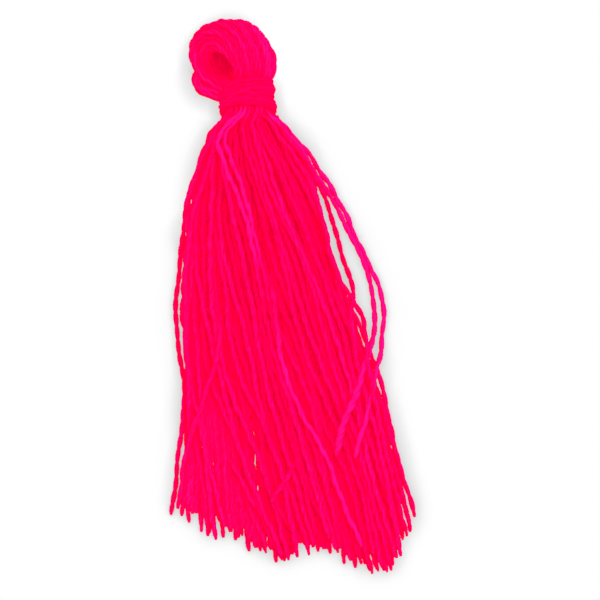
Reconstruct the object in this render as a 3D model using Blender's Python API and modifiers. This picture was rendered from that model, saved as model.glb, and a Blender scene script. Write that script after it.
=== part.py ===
"""A miniature looped yarn tassel, lying on its side as it falls on a table.

One hank of yarn is folded over a finger to leave an eye, bound under the fold with a few turns of the
same yarn, and cut through at the foot. Here it is three solids: the crown, which is the looped fold
with its eye and the stem that runs down inside the binding, the binding itself, and the skirt of cut
yarns, whose roots are fused under the binding.

The tassel lies along Y with its eye at +Y, on the plane z = 0. Sizes are worked out in millimetres,
measured down the tassel from the middle of its neck, and turned into metres as each mesh is made.
"""

import math

import bmesh
import bpy
import numpy as np
from mathutils import Matrix

MM = 0.001
MERGE_DISTANCE = 1e-7

# Where the neck lies, with the finished tassel centred on the origin
NECK_ACROSS = -0.24
NECK_ALONG = 10.81
NECK_HEIGHT = 1.62

# The binding leans: its upper side is pushed towards the eye, by this much for each mm of height
LEAN = 0.28
LEAN_REACH = 5.0
HEIGHT_RATIO = 0.94

# The binding
BINDING_TURNS = 5
TURN_WIDTH = 0.28
BINDING_OUTER = 1.56
BINDING_INNER = 1.2
TURN_BULGE = 0.09
BINDING_STEPS = 36

# The crown: a band of yarn looped over into an eye. Its loop is a drop shape, seen here in its own plane,
# which is turned about the tassel's axis so that the eye looks up and to the left
LOOP_BASE = 0.79
LOOP_RISE = 2.6
LOOP_SPREAD = 1.4
LOOP_ROUNDNESS = 0.45
LOOP_TURN = math.radians(48)
LOOP_START = math.radians(57)
LOOP_END = math.radians(295)
LOOP_SECTIONS = 30
TURN_STEP = 0.01
BAND_HALF_WIDTH = 1.4
BAND_NECK_WIDTH = 1.05
BAND_FULL_AT = 0.6
BAND_NECK_THICK = 0.42
BAND_TOP_THICK = 0.76
BAND_LEAN = 0.22
BAND_SQUARENESS = 0.72
BAND_YARNS = 22
YARN_RELIEF = 0.07
CROWN_HEIGHT = 1.58
CROWN_SHIFT = -0.5
CROWN_WIDEN = 1.1
CROWN_FLATTEN = 0.88
TABLE_BLOCK = 20.0

# The stem joins the loop's legs and runs down inside the binding
STEM_RADIUS = 0.84
STEM_TOP = -1.9
STEM_FOOT = 0.42

# The slack yarns that droop from the crown's back leg: a smaller band, standing on edge, that hangs out to
# the left in part of an oval and turns back in under the crown
SLACK_DOWN = -1.84
SLACK_ACROSS = -1.85
SLACK_REACH_DOWN = 0.48
SLACK_REACH_ACROSS = 0.48
SLACK_FROM = math.radians(-60)
SLACK_TO = math.radians(130)
SLACK_LOW = 0.9
SLACK_LIFT = 0.3
SLACK_SECTIONS = 14
SLACK_HALF_WIDTH = 0.6
SLACK_HALF_THICK = 0.36
SLACK_YARNS = 11

# The skirt
STRANDS = 71
YARN_SIDE = 0.25
ROOT_SIDE = 0.15
FULL_SIDE_AT = 5.0
CLEARANCE = 0.09
ROOT_DOWN = 1.16
ROOT_HALF_WIDTH = 1.42
ROOT_HALF_HEIGHT = 1.12
CORE_TOP = 1.1
CORE_FACE = 1.55
CORE_TAPER = 0.8
FOOT_END = 26.0
SPREAD_LENGTH = 9.0
STATIONS = 15
STATION_CROWDING = 1.5
SWAY = 0.16
SWAY_PACE = (0.25, 0.5)
END_WANDER = 0.05
UPPER_FROM = 0.4
UPPER_BLEND = 0.25
FOOT_UNEVEN = 1.1
LAST_STEP = 0.4
ARCH_HEIGHT = 0.05
ARCH_MIDDLE = 14.0
ARCH_REACH = 9.5
GUIDED_ROUNDS = 300
SETTLING_ROUNDS = 1200
HOLD = 0.03
STRAY_HOLD = 0.1
SMOOTHING = 0.1
PUSH = 0.3
SINK = 0.006
SINK_FROM = 2.0
SINK_OVER = 4.0
STRAY_RISE = (8.0, 16.0)
GOLDEN_ANGLE = math.radians(137.508)

# The skirt's outline: down the tassel, left edge, right edge, lowest and highest yarn
SKIRT_OUTLINE = (
    (1.2, -1.60, 1.50, 0.45, 2.75),
    (1.9, -2.20, 1.95, 0.25, 2.70),
    (2.8, -2.80, 2.50, 0.13, 2.45),
    (4.2, -3.20, 3.00, 0.13, 2.10),
    (6.0, -3.70, 3.30, 0.13, 1.85),
    (8.0, -4.25, 3.50, 0.13, 1.60),
    (11.0, -4.80, 3.80, 0.13, 1.35),
    (14.5, -4.85, 4.55, 0.13, 1.15),
    (17.5, -5.05, 5.25, 0.13, 1.00),
    (21.0, -5.55, 5.90, 0.13, 0.85),
    (26.0, -5.90, 6.30, 0.13, 0.80),
)

# The lie of the upper yarns: down the tassel, and how far across each of nine of them lies there
UPPER_LIE = (
    (1.2, -1.60, -1.55, -1.45, -1.35, -0.60, -0.20, -0.05, 0.32, 1.50),
    (3.0, -2.85, -2.60, -2.10, -1.90, -0.45, 0.20, 0.65, 1.15, 2.50),
    (5.0, -3.40, -3.20, -2.60, -1.90, -0.20, 0.78, 1.45, 2.00, 3.15),
    (8.0, -4.25, -3.90, -3.00, -1.50, 0.37, 1.85, 2.60, 3.00, 3.50),
    (11.0, -4.80, -4.30, -2.81, -0.83, 0.80, 2.75, 3.20, 3.45, 3.80),
    (14.5, -4.85, -4.30, -2.00, -0.40, 1.85, 3.50, 4.00, 4.30, 4.60),
    (18.0, -5.15, -3.36, -1.20, 0.45, 2.90, 4.35, 4.75, 5.10, 5.40),
    (22.0, -5.65, -1.70, -0.40, 1.15, 3.70, 5.00, 5.45, 5.85, 6.20),
    (26.0, -5.90, -0.60, 0.30, 1.90, 4.30, 5.30, 5.75, 6.10, 6.35),
)

# The foot, where the yarns were cut: across, down the tassel
FOOT_LINE = (
    (-6.2, 21.7),
    (-5.3, 22.7),
    (-4.1, 23.1),
    (-2.7, 23.8),
    (-1.2, 24.7),
    (0.3, 24.6),
    (1.1, 24.2),
    (2.3, 25.0),
    (3.6, 25.8),
    (4.9, 25.8),
    (5.5, 24.4),
    (6.3, 23.5),
)

# Yarns that stray from the rest. Each has its level at the neck and at its tip, as a share of the skirt's
# thickness there, and then its places: down the tassel, across
STRAY_YARNS = {
    "outer right": (0.5, 1.2, (
        (1.2, 1.3), (2.8, 2.7), (4.5, 3.6), (6.8, 4.6), (8.1, 5.0), (9.7, 5.6), (11.5, 6.05), (12.6, 5.95),
        (14.3, 5.6), (16.0, 5.0), (17.8, 4.4), (19.6, 3.65))),
    "inner right": (0.7, 1.1, (
        (1.2, 1.1), (2.8, 2.4), (4.5, 3.3), (7.0, 4.4), (8.9, 5.1), (11.0, 5.55), (13.0, 5.4), (14.6, 4.8),
        (16.2, 4.1), (17.5, 3.4), (19.4, 2.7))),
    "crossing right": (0.75, 0.9, (
        (1.2, 0.8), (4.2, 2.6), (6.7, 3.3), (9.4, 3.68), (10.6, 4.1), (11.4, 4.55), (12.4, 4.9), (13.4, 4.95),
        (14.3, 4.9), (17.0, 5.1), (20.5, 5.5), (24.0, 6.0))),
    "hanging right": (0.6, 0.8, (
        (1.2, 1.2), (4.2, 3.0), (6.7, 3.8), (8.9, 4.15), (9.8, 4.4), (11.0, 4.5), (12.0, 4.3), (13.0, 4.25),
        (15.0, 4.4), (18.0, 4.9), (25.0, 5.6))),
    "outer left": (0.4, 0.4, (
        (1.2, -1.4), (4.2, -3.3), (8.1, -4.4), (11.0, -4.95), (15.8, -5.0), (18.0, -5.5), (19.9, -5.9),
        (21.6, -6.3))),
    "inner left": (0.6, 0.6, (
        (1.2, -1.25), (6.0, -3.5), (12.0, -4.5), (16.6, -4.8), (18.3, -5.0), (20.4, -5.5), (21.7, -5.8))),
    "upper crossing": (0.95, 1.1, (
        (1.2, -1.15), (2.0, -1.45), (3.2, -1.2), (4.3, -0.85), (5.5, -0.6), (7.2, -0.4), (10.0, 0.0),
        (15.0, 0.4), (20.0, 1.4), (24.3, 2.2))),
    "upper falling": (1.05, 1.1, (
        (1.2, -1.4), (2.2, -1.75), (3.3, -1.6), (4.6, -1.2), (6.0, -0.8), (7.6, -0.55), (9.2, -0.4),
        (12.0, -0.2), (18.0, 0.9), (23.7, 1.9))),
    "lower left crossing": (0.9, 1.2, (
        (1.2, -0.9), (6.0, -2.4), (10.0, -2.7), (13.0, -2.85), (15.3, -3.8), (18.5, -5.2), (21.3, -5.9))),
    "short tip": (1.0, 1.5, (
        (1.2, 0.2), (6.0, 1.3), (12.0, 2.0), (16.0, 1.9), (18.0, 1.4), (19.3, 0.7), (21.5, -1.0))),
    "left tip": (0.8, 1.2, (
        (1.2, -1.3), (5.0, -3.0), (11.0, -4.1), (14.5, -4.2), (16.7, -3.75), (18.0, -3.3), (19.4, -2.75),
        (20.5, -2.25), (21.7, -1.8))),
    "bright fall": (0.95, 1.3, (
        (1.2, -0.2), (5.0, 0.1), (8.0, 0.2), (11.3, 0.3), (14.5, 0.45), (17.0, 1.15), (19.1, 2.1),
        (22.0, 2.85), (24.3, 3.6))),
}

YARN_PINK = (1.0, 0.0, 0.13, 1.0)
YARN_ROUGHNESS = 0.85


def leant(points):
    """Pushes points towards the eye where they are high, and away from it where they are low."""
    moved = np.array(points, dtype=float)
    fade = np.clip(1.0 - np.abs(moved[..., 0]) / LEAN_REACH, 0.0, 1.0)
    moved[..., 0] -= LEAN * fade * (moved[..., 2] - NECK_HEIGHT)
    return moved


def placed(points):
    """Turns (down the tassel, across, height) in mm into world positions in metres."""
    points = np.asarray(points, dtype=float)
    world = np.empty_like(points)
    world[..., 0] = NECK_ACROSS + points[..., 1]
    world[..., 1] = NECK_ALONG - points[..., 0]
    world[..., 2] = points[..., 2]
    return world * MM


def eased(value):
    """A smooth step from 0 to 1."""
    value = np.clip(value, 0.0, 1.0)
    return value * value * (3.0 - 2.0 * value)


def yarn_material():
    material = bpy.data.materials.new("neon pink yarn")
    material.use_nodes = True
    shader = material.node_tree.nodes["Principled BSDF"]
    shader.inputs["Base Color"].default_value = YARN_PINK
    shader.inputs["Roughness"].default_value = YARN_ROUGHNESS
    shader.inputs["Metallic"].default_value = 0.0
    return material


def new_object(name, mesh, collection, material):
    item = bpy.data.objects.new(name, mesh)
    item.data.materials.append(material)
    collection.objects.link(item)
    return item


def loft(name, sections, collection, material):
    """A closed solid through rings of points, with a cap at each end."""
    rings, around = sections.shape[:2]
    form = bmesh.new()
    corners = [[form.verts.new(point) for point in ring] for ring in sections]
    for low, high in zip(corners, corners[1:]):
        for k in range(around):
            after = (k + 1) % around
            form.faces.new((low[k], low[after], high[after], high[k]))
    form.faces.new(corners[0][::-1])
    form.faces.new(corners[rings - 1])
    bmesh.ops.recalc_face_normals(form, faces=form.faces)
    mesh = bpy.data.meshes.new(name)
    form.to_mesh(mesh)
    form.free()
    return new_object(name, mesh, collection, material)


def strand_solid(name, paths, half_sides, collection, material):
    """Four-sided strands along paths in metres, as one mesh. Each lies with a flat side downwards."""
    curve = bpy.data.curves.new(name, "CURVE")
    curve.dimensions = "3D"
    curve.twist_mode = "Z_UP"
    curve.bevel_depth = 1.0 * MM
    curve.bevel_resolution = 0
    curve.render_resolution_u = 0
    curve.use_fill_caps = True
    for path, halves in zip(paths, half_sides):
        spline = curve.splines.new("POLY")
        spline.points.add(len(path) - 1)
        for point, place, half in zip(spline.points, path, halves):
            point.co = (*place, 1.0)
            point.radius = half * math.sqrt(2.0)
            point.tilt = math.pi / 4
    guide = bpy.data.objects.new(name, curve)
    collection.objects.link(guide)
    bpy.context.view_layer.update()
    evaluated = guide.evaluated_get(bpy.context.evaluated_depsgraph_get())
    mesh = bpy.data.meshes.new_from_object(evaluated)
    form = bmesh.new()
    form.from_mesh(mesh)
    bmesh.ops.remove_doubles(form, verts=form.verts, dist=MERGE_DISTANCE)
    bmesh.ops.recalc_face_normals(form, faces=form.faces)
    form.to_mesh(mesh)
    form.free()
    mesh.materials.clear()
    bpy.data.objects.remove(guide)
    return new_object(name, mesh, collection, material)


def join_to(body, tool):
    """Unites a hidden solid with the body."""
    tool.hide_render = True
    tool.display_type = "WIRE"
    union = body.modifiers.new("join " + tool.name, "BOOLEAN")
    union.operation = "UNION"
    union.solver = "EXACT"
    union.use_self = True
    union.object = tool


def cut_at_table(body, collection):
    """Flattens the body where it presses on the table."""
    form = bmesh.new()
    bmesh.ops.create_cube(form, size=TABLE_BLOCK * MM)
    bmesh.ops.translate(form, vec=(0.0, NECK_ALONG * MM, -TABLE_BLOCK * MM / 2.0), verts=form.verts)
    mesh = bpy.data.meshes.new("table")
    form.to_mesh(mesh)
    form.free()
    table = bpy.data.objects.new("table", mesh)
    collection.objects.link(table)
    table.hide_render = True
    table.display_type = "WIRE"
    cut = body.modifiers.new("rest on the table", "BOOLEAN")
    cut.operation = "DIFFERENCE"
    cut.solver = "EXACT"
    cut.object = table


def oval_rings(downs, half_widths, half_heights, around=32):
    """Oval rings about the neck's axis, each at its place down the tassel."""
    turn = np.linspace(0.0, 2.0 * math.pi, around, endpoint=False)
    rings = []
    for down, wide, high in zip(downs, half_widths, half_heights):
        across = wide * np.cos(turn)
        height = NECK_HEIGHT + high * np.sin(turn)
        rings.append(np.stack([np.full(around, down), across, height], axis=1))
    return np.array(rings)


def band_profile(half_width, half_thick, yarns, around=721):
    """A band's cross-section: a flat oval whose edge rises in a ridge for each yarn."""
    turn = np.linspace(0.0, 2.0 * math.pi, around)
    wide = half_width * np.sign(np.cos(turn)) * np.abs(np.cos(turn)) ** BAND_SQUARENESS
    thick = half_thick * np.sign(np.sin(turn)) * np.abs(np.sin(turn)) ** BAND_SQUARENESS
    travelled = np.concatenate([[0.0], np.cumsum(np.hypot(np.diff(wide), np.diff(thick)))])
    places = np.linspace(0.0, travelled[-1], 2 * yarns, endpoint=False)
    edge = np.stack([np.interp(places, travelled, wide), np.interp(places, travelled, thick)], axis=1)
    tangent = np.roll(edge, -1, axis=0) - np.roll(edge, 1, axis=0)
    outward = np.stack([tangent[:, 1], -tangent[:, 0]], axis=1)
    outward /= np.linalg.norm(outward, axis=1, keepdims=True)
    relief = np.where(np.arange(len(edge)) % 2 == 0, YARN_RELIEF, -YARN_RELIEF)
    return edge + outward * relief[:, None]


def loop_place(turn):
    """Where the loop's middle line runs in its own plane: to the side, and up from the neck."""
    spread = LOOP_SPREAD * math.sin(turn) * abs(math.sin(turn / 2.0)) ** LOOP_ROUNDNESS
    rise = LOOP_BASE + LOOP_RISE * (1.0 - math.cos(turn)) / 2.0
    return np.array([spread, rise])


def crown_ring(turn):
    """The band's ridged section at one turn of the loop, as (down, across, height)."""
    spread, rise = loop_place(turn)
    ahead = loop_place(turn + TURN_STEP) - loop_place(turn - TURN_STEP)
    outward = np.array([ahead[1], -ahead[0]]) / np.hypot(*ahead)
    risen = (rise - LOOP_BASE) / LOOP_RISE
    grown = eased(risen / BAND_FULL_AT)
    half_width = BAND_NECK_WIDTH + (BAND_HALF_WIDTH - BAND_NECK_WIDTH) * grown
    half_thick = BAND_NECK_THICK + (BAND_TOP_THICK - BAND_NECK_THICK) * risen
    profile = band_profile(half_width, half_thick, BAND_YARNS)
    aside = spread + outward[0] * profile[:, 1]
    up = rise + outward[1] * profile[:, 1]
    over = profile[:, 0] + BAND_LEAN * grown
    x = aside * math.cos(LOOP_TURN) - over * math.sin(LOOP_TURN)
    z = aside * math.sin(LOOP_TURN) + over * math.cos(LOOP_TURN)
    shift = eased((up - LOOP_BASE) / LOOP_RISE)
    across = CROWN_SHIFT * shift + CROWN_WIDEN * x
    height = NECK_HEIGHT + (CROWN_HEIGHT - NECK_HEIGHT) * shift + CROWN_FLATTEN * z
    return np.stack([-up, across, height], axis=1)


def crown_sections():
    """Rings of the looped band, from its front leg over the top to its back leg."""
    turns = np.linspace(LOOP_START, LOOP_END, LOOP_SECTIONS)
    return np.array([crown_ring(turn) for turn in turns])


def slack_sections():
    """Rings of the slack yarns' band, which stands on edge along its part of an oval."""
    turn = np.linspace(SLACK_FROM, SLACK_TO, SLACK_SECTIONS)
    down = SLACK_DOWN + SLACK_REACH_DOWN * np.sin(turn)
    across = SLACK_ACROSS - SLACK_REACH_ACROSS * np.cos(turn)
    height = SLACK_LOW + SLACK_LIFT * eased((turn - SLACK_FROM) / (SLACK_TO - SLACK_FROM))
    path = np.stack([down, across, height], axis=1)
    ahead = np.gradient(path, axis=0)
    aside = np.stack([ahead[:, 1], -ahead[:, 0], np.zeros(len(path))], axis=1)
    aside /= np.linalg.norm(aside, axis=1, keepdims=True)
    profile = band_profile(SLACK_HALF_WIDTH, SLACK_HALF_THICK, SLACK_YARNS)
    upright = np.array([0.0, 0.0, 1.0])
    return path[:, None, :] + profile[None, :, :1] * upright + profile[None, :, 1:] * aside[:, None, :]


def skirt_fractions():
    """How far across the skirt each yarn starts and ends, and how high it lies in the bundle."""
    order = np.arange(STRANDS)
    reach = np.sqrt((order + 0.5) / STRANDS)
    start = 0.5 + 0.5 * reach * np.cos(order * GOLDEN_ANGLE)
    level = 0.5 + 0.5 * reach * np.sin(order * GOLDEN_ANGLE)
    wander = np.random.default_rng(7).normal(0.0, END_WANDER, STRANDS)
    end = (np.argsort(np.argsort(start + wander)) + 0.5) / STRANDS
    return start, end, level


def yarn_side(down):
    """A yarn's side: gathered and thin at its root, and full once it is clear of the neck."""
    return ROOT_SIDE + (YARN_SIDE - ROOT_SIDE) * eased((down - ROOT_DOWN) / (FULL_SIDE_AT - ROOT_DOWN))


def upper_lie(stations, start):
    """How far across the upper yarns lie at each station, by where they start."""
    lie = np.array(UPPER_LIE)
    guides = np.stack([np.interp(stations, lie[:, 0], lie[:, k]) for k in range(1, lie.shape[1])], axis=1)
    places = np.linspace(0.0, 1.0, guides.shape[1])
    return np.stack([np.interp(start, places, row) for row in guides])


def strand_guides(stations):
    """Where each yarn would lie if yarns took no room, at each station: across, and height."""
    outline = np.array(SKIRT_OUTLINE)
    columns = [np.interp(stations, outline[:, 0], outline[:, k])[:, None] for k in range(1, 5)]
    left, right, low, high = columns
    start, end, level = skirt_fractions()
    spread = eased((stations - ROOT_DOWN) / SPREAD_LENGTH)[:, None]
    seed = np.random.default_rng(11)
    phase = seed.uniform(0.0, 2.0 * math.pi, STRANDS)
    pace = seed.uniform(*SWAY_PACE, STRANDS)
    sway = SWAY * spread * np.sin(stations[:, None] * pace + phase)
    across = left + (right - left) * (start + (end - start) * spread)
    upper = eased((level - UPPER_FROM) / UPPER_BLEND)
    across = across + upper * (upper_lie(stations, start) - across) + sway
    height = low + (high - low) * level
    for at_neck, at_tip, places in STRAY_YARNS.values():
        stray = np.interp(stations, *np.array(places).T)[:, None]
        rise = np.interp(stations, STRAY_RISE, (at_neck, at_tip))[:, None]
        across = np.append(across, stray, axis=1)
        height = np.append(height, low + (high - low) * rise, axis=1)
    return across, height


def pushes(across, height, room):
    """How far each yarn is pushed by those that are nearer to it than their room, at each station."""
    aside = across[:, :, None] - across[:, None, :]
    above = height[:, :, None] - height[:, None, :]
    distance = np.sqrt(np.sqrt(aside**2 * aside**2 + above**2 * above**2)) + 1e-6
    overlap = np.maximum(0.0, room[:, None, None] - distance) / distance
    return np.sum(overlap * aside, axis=2), np.sum(overlap * above, axis=2)


def arch(stations, across):
    """How far the skirt's underside is held off the table: it stands on its four corners."""
    along = np.clip(np.abs(stations - ARCH_MIDDLE) / ARCH_REACH, 0.0, 1.0)[:, None]
    edge = np.max(np.abs(across), axis=1, keepdims=True)
    return ARCH_HEIGHT * (1.0 - along * np.abs(across) / edge)


def settled(stations):
    """Moves the yarns off one another and down onto the table, keeping each one smooth."""
    wanted_across, wanted_height = strand_guides(stations)
    across, height = wanted_across.copy(), wanted_height.copy()
    between = (stations[1:] + stations[:-1]) / 2.0
    room = yarn_side(stations) + CLEARANCE
    room_between = yarn_side(between) + CLEARANCE
    resting = (yarn_side(stations) / 2.0)[:, None]
    hold = np.where(np.arange(across.shape[1]) < STRANDS, HOLD, STRAY_HOLD)[None, :]
    sink = SINK * eased((stations - SINK_FROM) / SINK_OVER)[:, None]
    for done in range(SETTLING_ROUNDS):
        if done < GUIDED_ROUNDS:
            for places, wanted in ((across, wanted_across), (height, wanted_height)):
                places += hold * (wanted - places)
                places[1:-1] += SMOOTHING * (places[:-2] + places[2:] - 2.0 * places[1:-1])
            height -= sink
        aside, above = pushes(across, height, room)
        middle = (across[1:] + across[:-1]) / 2.0, (height[1:] + height[:-1]) / 2.0
        aside_between, above_between = pushes(*middle, room_between)
        for places, at, amid in ((across, aside, aside_between), (height, above, above_between)):
            places += PUSH * at
            places[1:] += PUSH / 2.0 * amid
            places[:-1] += PUSH / 2.0 * amid
        height = np.maximum(height, resting + arch(stations, across))
        reach = np.hypot(across[0] / ROOT_HALF_WIDTH, (height[0] - NECK_HEIGHT) / ROOT_HALF_HEIGHT)
        inward = 1.0 / np.maximum(1.0, reach)
        across[0] *= inward
        height[0] = NECK_HEIGHT + inward * (height[0] - NECK_HEIGHT)
    return across, height


def strand_paths():
    """Each yarn as points (down, across, height), cut where the foot line cuts it."""
    share = np.linspace(0.0, 1.0, STATIONS)
    stations = ROOT_DOWN + (FOOT_END - ROOT_DOWN) * share**STATION_CROWDING
    across, height = settled(stations)
    foot = np.array(FOOT_LINE)
    trims = FOOT_UNEVEN * np.random.default_rng(5).uniform(0.0, 1.0, across.shape[1]) ** 2
    ends = np.interp(across[-2], foot[:, 0], foot[:, 1]) - trims
    ends[STRANDS:] = [places[-1][0] for _, _, places in STRAY_YARNS.values()]
    paths = []
    for k, end in enumerate(ends):
        downs = np.append(stations[stations < end - LAST_STEP], end)
        path = [downs, np.interp(downs, stations, across[:, k]), np.interp(downs, stations, height[:, k])]
        paths.append(np.stack(path, axis=1))
    return paths


def build_crown(collection, tools, material):
    crown = loft("crown", placed(leant(crown_sections())), collection, material)
    rings = oval_rings((STEM_TOP, STEM_FOOT), (STEM_RADIUS,) * 2, (STEM_RADIUS * HEIGHT_RATIO,) * 2)
    join_to(crown, loft("stem", placed(leant(rings)), tools, material))
    join_to(crown, loft("slack", placed(leant(slack_sections())), tools, material))
    cut_at_table(crown, tools)
    return crown


def build_binding(collection, material):
    """Turns of yarn wound side by side: a ridged profile turned about the neck, then leant."""
    length = BINDING_TURNS * TURN_WIDTH
    profile = [(BINDING_INNER, -length / 2), (BINDING_INNER, length / 2)]
    for turn in range(BINDING_TURNS):
        for part in range(4):
            angle = math.pi * part / 4.0
            along = length / 2 - TURN_WIDTH * (turn + 0.5 - 0.5 * math.cos(angle))
            profile.append((BINDING_OUTER - TURN_BULGE * (1.0 - math.sin(angle)), along))
    profile.append((BINDING_OUTER - TURN_BULGE, -length / 2))
    mesh = bpy.data.meshes.new("neck_binding")
    corners = [(radius * MM, 0.0, along * MM) for radius, along in profile]
    edges = [(k, (k + 1) % len(corners)) for k in range(len(corners))]
    mesh.from_pydata(corners, edges, [])
    binding = new_object("neck_binding", mesh, collection, material)
    turned = binding.modifiers.new("wind", "SCREW")
    turned.axis = "Z"
    turned.steps = BINDING_STEPS
    turned.render_steps = BINDING_STEPS
    turned.use_merge_vertices = True
    turned.merge_threshold = MERGE_DISTANCE
    turned.use_normal_calculate = True
    upright = Matrix.Rotation(-math.pi / 2, 4, "X")
    flatten = Matrix.Diagonal((1.0, 1.0, HEIGHT_RATIO, 1.0))
    lean = Matrix.Identity(4)
    lean[1][2] = LEAN
    lift = Matrix.Translation((NECK_ACROSS * MM, NECK_ALONG * MM, NECK_HEIGHT * MM))
    binding.matrix_world = lift @ lean @ flatten @ upright
    return binding


def build_skirt(collection, tools, material):
    paths = strand_paths()
    halves = [yarn_side(path[:, 0]) / 2.0 for path in paths]
    world = [placed(leant(path)) for path in paths]
    strands = strand_solid("strands", world, halves, tools, material)
    scales = np.array([1.0, 1.0, CORE_TAPER])
    downs = (CORE_TOP, (CORE_TOP + CORE_FACE) / 2.0, CORE_FACE)
    core = oval_rings(downs, scales * ROOT_HALF_WIDTH, scales * ROOT_HALF_HEIGHT)
    skirt = loft("skirt", placed(leant(core)), collection, material)
    join_to(skirt, strands)
    return skirt


def main():
    for item in list(bpy.data.objects):
        bpy.data.objects.remove(item)
    collection = bpy.data.collections.new("yarn tassel")
    tools = bpy.data.collections.new("tools")
    bpy.context.scene.collection.children.link(collection)
    bpy.context.scene.collection.children.link(tools)
    material = yarn_material()
    build_crown(collection, tools, material)
    build_binding(collection, material)
    build_skirt(collection, tools, material)


main()
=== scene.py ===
"""The looks of a miniature looped yarn tassel in neon pink, lying on a white surface.

Every yarn is modelled as two plies twisted round each other. The yarns follow the same lie as the solid
strands: the skirt's yarns are settled onto the table by the same rules, the crown's yarns run round the eye,
and the binding is wound round the neck. Fine loose fibres stand off them. Sizes are worked out in
millimetres, measured down the tassel from the middle of its neck. They become metres as each mesh is made.
"""

import math

import bpy
import numpy as np
from mathutils import Matrix, Vector

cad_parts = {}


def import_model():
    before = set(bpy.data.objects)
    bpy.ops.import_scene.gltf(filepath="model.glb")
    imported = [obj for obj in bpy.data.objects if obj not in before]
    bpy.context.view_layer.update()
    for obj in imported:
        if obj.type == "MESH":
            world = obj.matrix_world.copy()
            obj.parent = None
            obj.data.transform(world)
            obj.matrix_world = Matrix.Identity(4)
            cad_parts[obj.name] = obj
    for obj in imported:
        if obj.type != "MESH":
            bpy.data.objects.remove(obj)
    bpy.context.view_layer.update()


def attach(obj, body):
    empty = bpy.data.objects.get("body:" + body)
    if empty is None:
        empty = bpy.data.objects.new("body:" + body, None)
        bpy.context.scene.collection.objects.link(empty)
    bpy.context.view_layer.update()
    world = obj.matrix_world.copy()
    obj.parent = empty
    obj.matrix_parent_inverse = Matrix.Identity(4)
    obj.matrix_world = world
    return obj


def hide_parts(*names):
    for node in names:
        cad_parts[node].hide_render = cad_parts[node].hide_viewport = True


MM = 0.001

# Where the neck lies, and how the tassel leans there, as in the solids
NECK_ACROSS = -0.24
NECK_ALONG = 10.81
NECK_HEIGHT = 1.62
LEAN = 0.28
LEAN_REACH = 5.0
HEIGHT_RATIO = 0.94

# The yarn: two plies twisted round each other
YARN_RADIUS = 0.152
PLY_SHARE = 0.76
CROWN_PLY_SHARE = 0.69
CROWN_YARN = 0.162
PLY_SIDES = 7
TWIST_LENGTH = 1.6
TWIST_SPREAD = (0.88, 1.15)
SWELL = 0.06
SWELL_PACE = (1.2, 4.0)
WOBBLE = 0.03
SAMPLE_STEP = 0.16
TABLE_TOUCH = 0.003
TIP_LENGTH = 0.5
TIP_RADIUS = 0.45

# How many times finer a skirt yarn's path is worked out before it is sampled evenly
FINE_STEPS = 3

# A direction that hardly any path starts along, from which the directions across a path are found
ROUGHLY_UP = (0.0, 0.1, 1.0)

# Where each use of random numbers starts
SEEDS = {
    "yarn ends": 7,
    "sway": 11,
    "cuts": 5,
    "wander": 17,
    "under yarns": 31,
    "crown yarns": 3,
    "binding turns": 21,
    "skirt shades": 39,
    "crown shades": 54,
    "slack shades": 55,
    "skirt plies": 40,
    "crown plies": 50,
    "slack plies": 51,
    "binding plies": 52,
    "fibres": 61,
}

# The crown: a band of yarn looped over into an eye. Its loop is a drop shape, seen here in its own plane,
# which is turned about the tassel's axis so that the eye looks up and to the left
LOOP_BASE = 0.35
LOOP_RISE = 2.87
LOOP_SPREAD = 1.4
LOOP_ROUNDNESS = 0.45
LOOP_TURN = math.radians(48)
TURN_STEP = 0.01
OVAL_POINTS = 721
BAND_HALF_WIDTH = 1.4
BAND_NECK_WIDTH = 1.05
BAND_FULL_AT = 0.6
BAND_NECK_THICK = 0.34
BAND_TOP_THICK = 0.93
BAND_LEAN = 0.22
BAND_SQUARENESS = 0.72
CROWN_HEIGHT = 1.58
CROWN_SHIFT = -0.5
CROWN_WIDEN = 1.1
CROWN_FLATTEN = 0.88

# The crown's yarns: rings of them round the band's section, each as a count and a share of the section's size
CROWN_RINGS = ((26, 0.88), (17, 0.56), (8, 0.22))
CROWN_START = math.radians(30)
CROWN_STATIONS = 28
CROWN_SAMPLES = 110
CROWN_WANDER = 0.05
CROWN_PACE = (1.0, 2.6)
NECK_REACH = 1.12
NECK_MOUTH = -0.45
NECK_DEEP = 0.4
NECK_DRAWN = 0.9
ROUNDED_STEPS = 8

# The slack yarns' middle lines, from inside the crown's back leg round into the neck: down, across, height
SLACK_LINES = (
    (
        (-2.10, -1.70, 1.10),
        (-1.75, -2.05, 1.00),
        (-1.38, -2.32, 0.92),
        (-0.98, -2.36, 0.90),
        (-0.68, -2.08, 0.95),
        (-0.48, -1.65, 1.05),
        (-0.25, -1.20, 1.25),
        (0.20, -0.80, 1.40),
    ),
    (
        (-2.70, -2.15, 1.20),
        (-2.25, -2.30, 1.25),
        (-1.80, -2.20, 1.25),
        (-1.40, -1.95, 1.25),
        (-1.05, -1.60, 1.30),
        (-0.75, -1.25, 1.40),
        (-0.35, -0.95, 1.45),
        (0.20, -0.70, 1.50),
    ),
)
SLACK_HALF_WIDTH = 0.66
SLACK_HALF_THICK = 0.28
SLACK_YARNS = 14
SLACK_SAMPLES = 45

# The binding. Its edges are given round the neck: degrees from the top, then down the tassel to its edge on
# the eye's side and to its edge on the skirt's side
BINDING_EDGES = (
    (-180, -0.35, 1.05),
    (-90, -0.28, 0.80),
    (-50, -0.60, 0.52),
    (-25, -0.85, 0.36),
    (10, -0.96, 0.42),
    (50, -0.90, 0.66),
    (90, -0.79, 0.97),
    (180, -0.35, 1.05),
)
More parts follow.
